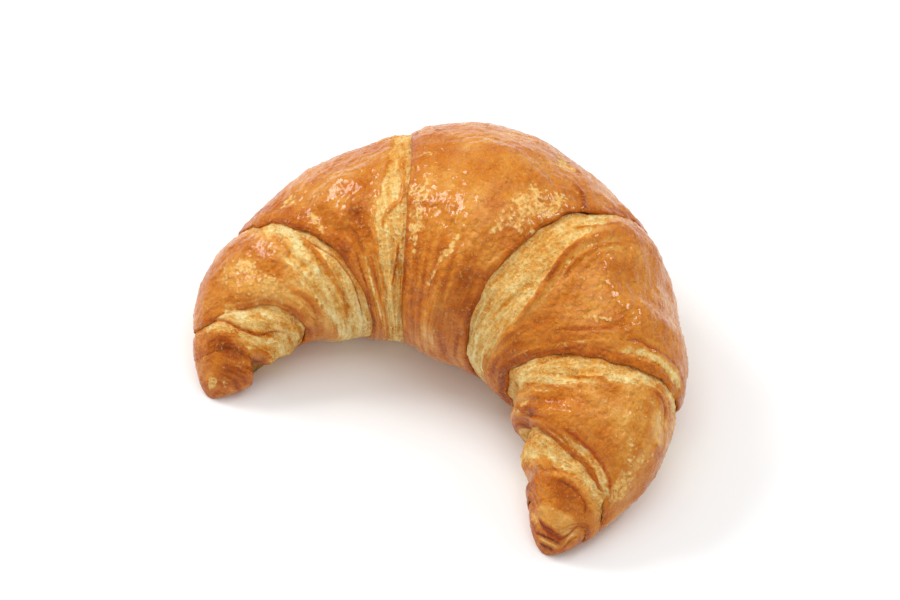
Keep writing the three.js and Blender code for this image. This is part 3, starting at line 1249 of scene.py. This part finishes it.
    strands: tuple[Strand, ...] = (
        # The left arm's pale band: a golden rope of dough, and the thin sheet that ends beside the lip.
        Strand(((-64.3, 103), (-61.3, 75), (-60.3, 59), (-59.3, 46), (-58.6, 34), (-58.4, 20), (-57.3, -1)),
               width=0.9, glaze=0.62, tone=-0.06, raised=0.9, ragged=0.25),
        Strand(((-49.5, -7), (-51.5, 30), (-54.4, 50), (-58.8, 67), (-61.5, 80)),
               width=0.5, tone=-0.2, step=0.45, reach=2.5, ragged=0.3),
        Strand(((-57, 94), (-56, 86), (-55, 68)), width=1.3, flake=0.95, tone=-0.1),
        # The streaks that run down the inner side of the left arm's first wrap.
        Strand(((-44.3, 58), (-43.3, 31), (-40.5, 8), (-37, -10)),
               width=1.0, glaze=-0.95, tone=-0.1, raised=0.3),
        # A darker sunk line: painted shade in the crease beside the streak.
        Strand(((-47.4, 56), (-46.2, 31), (-43.5, 8)), width=0.5, tone=0.25, raised=-0.35),
        Strand(((-41.6, 58), (-40.6, 31), (-37.8, 8)), width=0.8, glaze=0.5, tone=0.25),
        # Brown glaze between the pale lens and the lip of the middle wrap.
        Strand(((-29.8, 115), (-28.2, 92), (-28.3, 77), (-31, 73), (-34, 68), (-36.5, 58)),
               width=0.9, glaze=0.75, tone=0.0, raised=0.3, ragged=0.4),
        Strand(((-31.8, 108), (-34.5, 92), (-36.2, 78)), width=0.7, glaze=0.9, tone=0.1, raised=0.3),
        Strand(((-28.8, 53), (-30.3, 40), (-33, 27)), width=0.6, glaze=0.9, raised=0.3, ragged=0.3),
        # A darker sunk line: painted shade in the groove.
        Strand(((-27.3, 60), (-27.3, 30), (-27.6, 5)), width=0.35, tone=0.3, raised=-0.25),
        # The middle wrap: rows of flakes, and the brown fold at the top of its right lip.
        Strand(((-9.5, 24), (-5.8, 41), (-1.6, 52), (-0.5, 60)), width=1.7, flake=1.0, tone=-0.1),
        Strand(((-3.2, 46), (0.8, 52)), width=1.1, flake=0.9),
        Strand(((13.5, 122), (17.5, 119), (21, 112)), width=0.9, tone=0.3, raised=0.4),
        Strand(((3.2, -6), (4.4, 6), (6.0, 16)), width=0.8, flake=0.6, tone=-0.15),
        # The first wrap of the right arm: the brown ridge where its glaze begins, with thin layers behind it.
        Strand(((24.8, 98), (26.3, 112), (27.2, 128)),
               width=0.45, glaze=0.5, tone=0.3, raised=0.2, ragged=0.3),
        Strand(((29.2, 130), (29.4, 101), (31.0, 86), (35.2, 72), (39.2, 61), (42.8, 42)),
               width=1.0, glaze=1.0, tone=0.26, raised=0.75, ragged=0.15),
        Strand(((31.0, 128), (31.2, 103), (32.9, 88), (37.2, 75), (41.2, 62)),
               width=0.4, glaze=-0.9, tone=-0.15, raised=-0.35, ragged=0.35),
        Strand(((32.8, 126), (33.0, 104), (34.8, 89), (38.8, 77)),
               width=0.4, glaze=-0.8, tone=-0.15, raised=-0.3, ragged=0.4),
        Strand(((32.0, 126), (32.2, 104), (34.0, 89), (38.2, 75)),
               width=0.4, tone=0.25, raised=0.2, ragged=0.3),
        Strand(((34.8, 122), (35.0, 104), (36.9, 91)),
               width=0.4, glaze=-0.7, tone=-0.1, raised=-0.25, ragged=0.5),
        Strand(((48.6, 78), (50.0, 90), (51.4, 102)), width=0.6, flake=1.0, raised=0.2),
        Strand(((50.5, 30), (52.7, 44), (55.0, 67), (55.9, 87), (56.5, 102)),
               width=0.4, glaze=-0.55, tone=-0.2, raised=0.3, ragged=0.4),
        # A darker sunk line: painted shade in the groove.
        Strand(((50.2, 60), (52.6, 84), (53.4, 104)), width=0.5, tone=0.25, raised=-0.3),
        # The pale sheet that shows beyond its glaze on the outer side, and the cracks beside it.
        Strand(((57.6, 100), (58.4, 124), (59.4, 148), (60.4, 170)),
               width=1.5, glaze=-1.0, tone=-0.3, ragged=0.35),
        # The crack, darkened with painted shade.
        Strand(((58.4, 104), (59.2, 128), (60.2, 150), (61.0, 168)),
               width=0.25, tone=0.5, raised=-0.4, ragged=0.6),
        Strand(((63.6, 112), (64.2, 132), (65.4, 152), (69.0, 172)),
               width=0.4, glaze=-0.8, tone=-0.1, raised=0.2),
        Strand(((67.4, 126), (68.4, 146), (72.0, 162)),
               width=0.45, glaze=-0.8, tone=-0.1, raised=0.2, ragged=0.4),
        Strand(((59.4, 176), (57.6, 150), (56.6, 124), (56.0, 106)),
               width=0.4, step=0.5, reach=3.0, ragged=0.4),
        Strand(((60.2, 112), (60.4, 132), (60.6, 150)), width=0.5, glaze=0.5, tone=0.2),
        # The second wrap of the right arm: a split in its pale band, folds, and layers beside its lip.
        # The split, darkened with painted shade.
        Strand(((63.0, 50), (64.2, 65), (65.3, 78)), width=0.8, tone=0.22, raised=-0.7, ragged=0.3),
        Strand(((64.8, 72), (65.6, 84), (65.9, 98)), width=0.6, tone=0.25, glaze=0.3, raised=0.3, ragged=0.3),
        Strand(((70.2, 80), (72.0, 94), (73.5, 107), (74.0, 125)),
               width=1.1, tone=-0.12, raised=0.5, ragged=0.7),
        Strand(((73.6, 78), (75.6, 92), (77.0, 106)), width=0.8, tone=-0.08, raised=0.4, ragged=0.7),
        # Darker sunk lines: painted shade in the grooves.
        Strand(((65.2, 131), (66.2, 147), (70, 160), (72.2, 169)),
               width=0.35, tone=0.3, raised=-0.3, ragged=0.2),
        Strand(((67.4, 4), (71, 20), (76.0, 37), (79, 57)), width=0.45, tone=0.16, raised=-0.35),
        Strand(((69.2, 2), (72.6, 20), (77.4, 36), (80.6, 56)), width=0.5, tone=-0.2, glaze=-0.3, raised=0.3),
        Strand(((82.8, 66), (84.4, 90), (86.0, 115), (88.0, 135), (89.8, 150)),
               width=1.1, glaze=-0.8, tone=-0.15),
        Strand(((89.0, 154), (86.8, 135), (84.8, 115), (83.2, 90), (81.6, 66)),
               width=0.4, step=0.35, reach=2.5),
        # The left arm's second wrap ends in a pale tongue, and its third one begins with another sheet.
        Strand(((-92.4, 137), (-91.2, 113), (-91.0, 90), (-90.8, 68), (-89.6, 50), (-86.4, 40), (-81.5, 20)),
               width=0.5, step=0.6, reach=3.5, tone=-0.1, ragged=0.3),
        Strand(((-89.3, 108), (-88.6, 88), (-87.4, 64), (-84.8, 46)),
               width=1.1, glaze=-0.8, tone=-0.15, raised=0.3),
        # A darker sunk line: painted shade in the groove.
        Strand(((-86.6, 30), (-90.6, 62), (-92.0, 86)), width=0.6, glaze=0.3, tone=0.3, raised=-0.2),
        Strand(((-82, 34), (-85.4, 52), (-87, 74)), width=0.7, tone=0.3, ragged=0.3),
        # The rolled end of the right arm.
        Strand(((91.4, 48), (91.6, 66), (91.0, 94), (91.3, 113), (92.7, 133)),
               width=0.5, raised=0.45, tone=-0.2, glaze=-0.3, ragged=0.2),
        # A darker sunk line: painted shade in the groove of the spiral.
        Strand(((92.6, 66), (92.7, 92), (93.2, 112), (94.4, 128), (96.0, 134)),
               width=0.45, raised=-0.5, tone=0.25, ragged=0.2),
        # The flap's edge steps up and is darkened along it with painted shade.
        Strand(((100.2, 44), (101.9, 70), (102.4, 96), (102.3, 120), (102.0, 134), (100.2, 138), (97.7, 139)),
               width=0.35, tone=0.35, step=1.4, reach=2.4, ragged=0.1),
        # Darker sunk lines between the end's layers: painted shade in the gaps.
        Strand(((103.0, 30), (103.4, 80), (103.1, 150)), width=0.22, tone=0.45, raised=-0.5, ragged=0.2),
        Strand(((103.7, 30), (104.0, 90), (103.7, 160)),
               width=0.25, glaze=-0.9, tone=-0.25, raised=0.3, ragged=0.2),
        Strand(((104.4, 40), (104.5, 100), (104.4, 150)), width=0.15, tone=0.45, raised=-0.3, ragged=0.2),
        Strand(((99.5, 150), (101.5, 148), (103.2, 160)), width=0.5, glaze=-0.8, tone=-0.25, ragged=0.3),
        # Darker sunk lines: painted shade in the grooves.
        Strand(((99.5, 160), (101.5, 158), (103.2, 168)), width=0.3, tone=0.4, raised=-0.4, ragged=0.3),
        Strand(((90.2, 40), (90.4, 70), (89.6, 100)), width=0.4, raised=-0.35, tone=0.2, ragged=0.3),
    )

    def wraps(self) -> list[Wrap]:
        """The wraps, from tip to tip."""
        bare = Edge(0, 0, 0, 0, ragged=0)
        marks = (self.patches, self.strands)
        return [
            Wrap("left_tip", Side.LEFT, self.left_curl, self.left_tip, self.left_curl,
                 Character(tone=0.72, seed=1), *marks, 240, 0.18, is_tip=True),
            Wrap("left_third_wrap", Side.LEFT, self.left_third, self.left_curl,
                 Edge(-91.5, -93.6, -95, -92.5),
                 Character(root_depth=1.0, lip_height=0.5, bulge=0.5, tone=0.58, seed=2), *marks, 340, 0.22),
            Wrap("left_second_wrap", Side.LEFT, self.left_second, self.left_third,
                 Edge(-64.5, -69, -71.5, -64, skew=-3.5),
                 Character(root_depth=0.9, sheets=2, tone=0.48, seed=3), *marks),
            Wrap("left_first_wrap", Side.LEFT, self.left_first, self.left_second,
                 Edge(-36, -35.5, -29, -36, skew=-2), Character(root_depth=0.5, tone=0.54, seed=4), *marks),
            Wrap("middle_wrap", Side.MIDDLE, self.left_first, self.right_first, bare,
                 Character(tone=0.5, bulge=0.4, seed=5), *marks),
            Wrap("right_first_wrap", Side.RIGHT, self.right_first, self.right_second,
                 Edge(38.4, 31.7, 30.5, 35, skew=5.0), Character(sheets=2, tone=0.5, seed=6), *marks),
            Wrap("right_second_wrap", Side.RIGHT, self.right_second, self.right_third,
                 Edge(60, 66.7, 64.5, 62, skew=2.5),
                 Character(root_depth=1.0, sheets=3, sheet_spacing=1.1, tone=0.5, seed=7), *marks),
            Wrap("right_third_wrap", Side.RIGHT, self.right_third, self.right_curl, Edge(88, 90, 93, 89),
                 Character(root_depth=1.1, lip_height=0.8, bulge=0.6, tone=0.53, seed=8), *marks, 340, 0.2),
            Wrap("right_tip", Side.RIGHT, self.right_curl, self.right_tip, self.right_curl,
                 Character(root_depth=1.4, tone=0.64, seed=9), *marks, 240, 0.18, is_tip=True),
        ]

    def build(self) -> None:
        """Makes every wrap and hangs it on the frame."""
        crust = self.crust.material()
        for wrap in self.wraps():
            piece = wrap.build()
            piece.data.materials.append(crust)
            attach(piece, BODY)
            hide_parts(NODE)
            log.info("%s: %d faces", piece.name, len(piece.data.polygons))


# ----------------------------------------------------------------------------------------
# The studio
# ----------------------------------------------------------------------------------------


@dataclass(frozen=True)
class Lamp:
    """A square soft light that faces the croissant, in metres and watts."""

    name: str
    spot: tuple[float, float, float]
    side: float
    power: float

    def build(self) -> None:
        """Hangs the light."""
        light = bpy.data.lights.new(self.name, "AREA")
        light.size = self.side
        light.energy = self.power
        holder = bpy.data.objects.new(self.name, light)
        holder.location = self.spot
        holder.rotation_euler = (-Vector(self.spot)).to_track_quat("-Z", "Y").to_euler()
        bpy.context.scene.collection.objects.link(holder)


@dataclass
class Studio:
    """A pale floor, soft light from above, and the camera. Sizes are in metres, angles in degrees."""

    floor_size: float = 6.0
    azimuth: float = 29.4
    elevation: float = 52.0
    distance: float = 0.885
    lens: float = 120.0
    aim: tuple[float, float, float] = (-0.0011, -0.0081, 0.0298)
    world_strength: float = 0.46
    lamps: tuple[Lamp, ...] = (
        Lamp("window", (-0.80, 0.15, 0.72), 0.30, 3.7),
        Lamp("window_side", (-0.86, -0.05, 0.76), 0.22, 2.2),
        Lamp("back", (0.42, 0.52, 0.70), 0.19, 2.0),
        Lamp("top", (-0.05, 0.10, 1.10), 1.00, 5.0),
        Lamp("fill", (0.50, -1.3, 1.0), 1.8, 4.7),
    )

    def build(self) -> None:
        """Makes the floor, the lights, the world and the camera."""
        self.make_floor()
        for lamp in self.lamps:
            lamp.build()
        self.make_world()
        self.make_camera()

    def make_floor(self) -> None:
        """Lays the floor that the croissant rests on."""
        bpy.ops.object.select_all(action="DESELECT")
        bpy.ops.mesh.primitive_plane_add(size=self.floor_size, location=(0, 0, 0))
        floor = bpy.context.object
        floor.name = "floor"
        floor.data.materials.append(FloorFinish().material())

    def make_world(self) -> None:
        """Fills the room with even white light."""
        world = bpy.data.worlds.new("studio")
        world.use_nodes = True
        background = world.node_tree.nodes["Background"]
        background.inputs["Color"].default_value = (1, 1, 1, 1)
        background.inputs["Strength"].default_value = self.world_strength
        bpy.context.scene.world = world

    def make_camera(self) -> None:
        """Sets up the camera."""
        lens = bpy.data.cameras.new("camera")
        lens.lens = self.lens
        holder = bpy.data.objects.new("camera", lens)
        turn, rise = math.radians(self.azimuth), math.radians(self.elevation)
        back = Vector((math.sin(turn) * math.cos(rise), -math.cos(turn) * math.cos(rise), math.sin(rise)))
        holder.location = Vector(self.aim) + back * self.distance
        holder.rotation_euler = (-back).to_track_quat("-Z", "Y").to_euler()
        bpy.context.scene.collection.objects.link(holder)
        bpy.context.scene.camera = holder
        bpy.context.scene.view_settings.view_transform = "Standard"


def main() -> None:
    """Builds the croissant and the studio around it."""
    logging.basicConfig(level=logging.INFO, format="%(message)s")
    Croissant().build()
    Studio().build()


if __name__ == "__main__":
    main()
